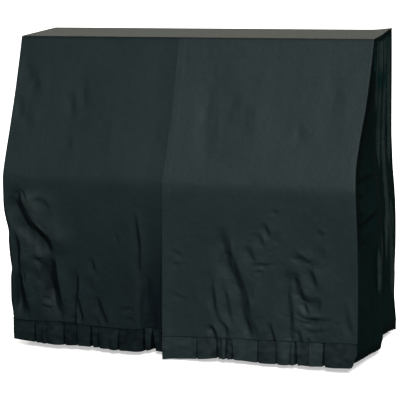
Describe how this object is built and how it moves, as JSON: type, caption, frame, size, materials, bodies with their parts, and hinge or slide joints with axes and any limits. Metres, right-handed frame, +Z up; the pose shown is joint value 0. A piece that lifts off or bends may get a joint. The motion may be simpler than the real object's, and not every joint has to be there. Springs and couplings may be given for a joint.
{
  "type": "piano cover",
  "caption": "Fitted black cloth cover for an upright piano: flat top, sloping lapped front with pleated hem bands, plain sides and back, hollow and open below.",
  "frame": {"origin": "middle of the underside of the top panel, where the piano's lid carries the cloth", "axes": "+Z up, +X to the right seen from the front, +Y to the back; the front faces -Y"},
  "size_m": [1.5969, 0.6333, 1.3094],
  "materials": {
    "panel_cloth": "closely woven black cloth with a faint cool sheen",
    "band_cloth": "the same black cloth, pressed into flat pleats"
  },
  "bodies": {
    "root": {"top_panel": "panel_cloth", "front_left_panel": "panel_cloth", "front_right_panel": "panel_cloth", "side_left_panel": "panel_cloth", "side_right_panel": "panel_cloth", "back_panel": "panel_cloth", "hem_band_left": "band_cloth", "hem_band_right": "band_cloth"}
  },
  "joints": []
}
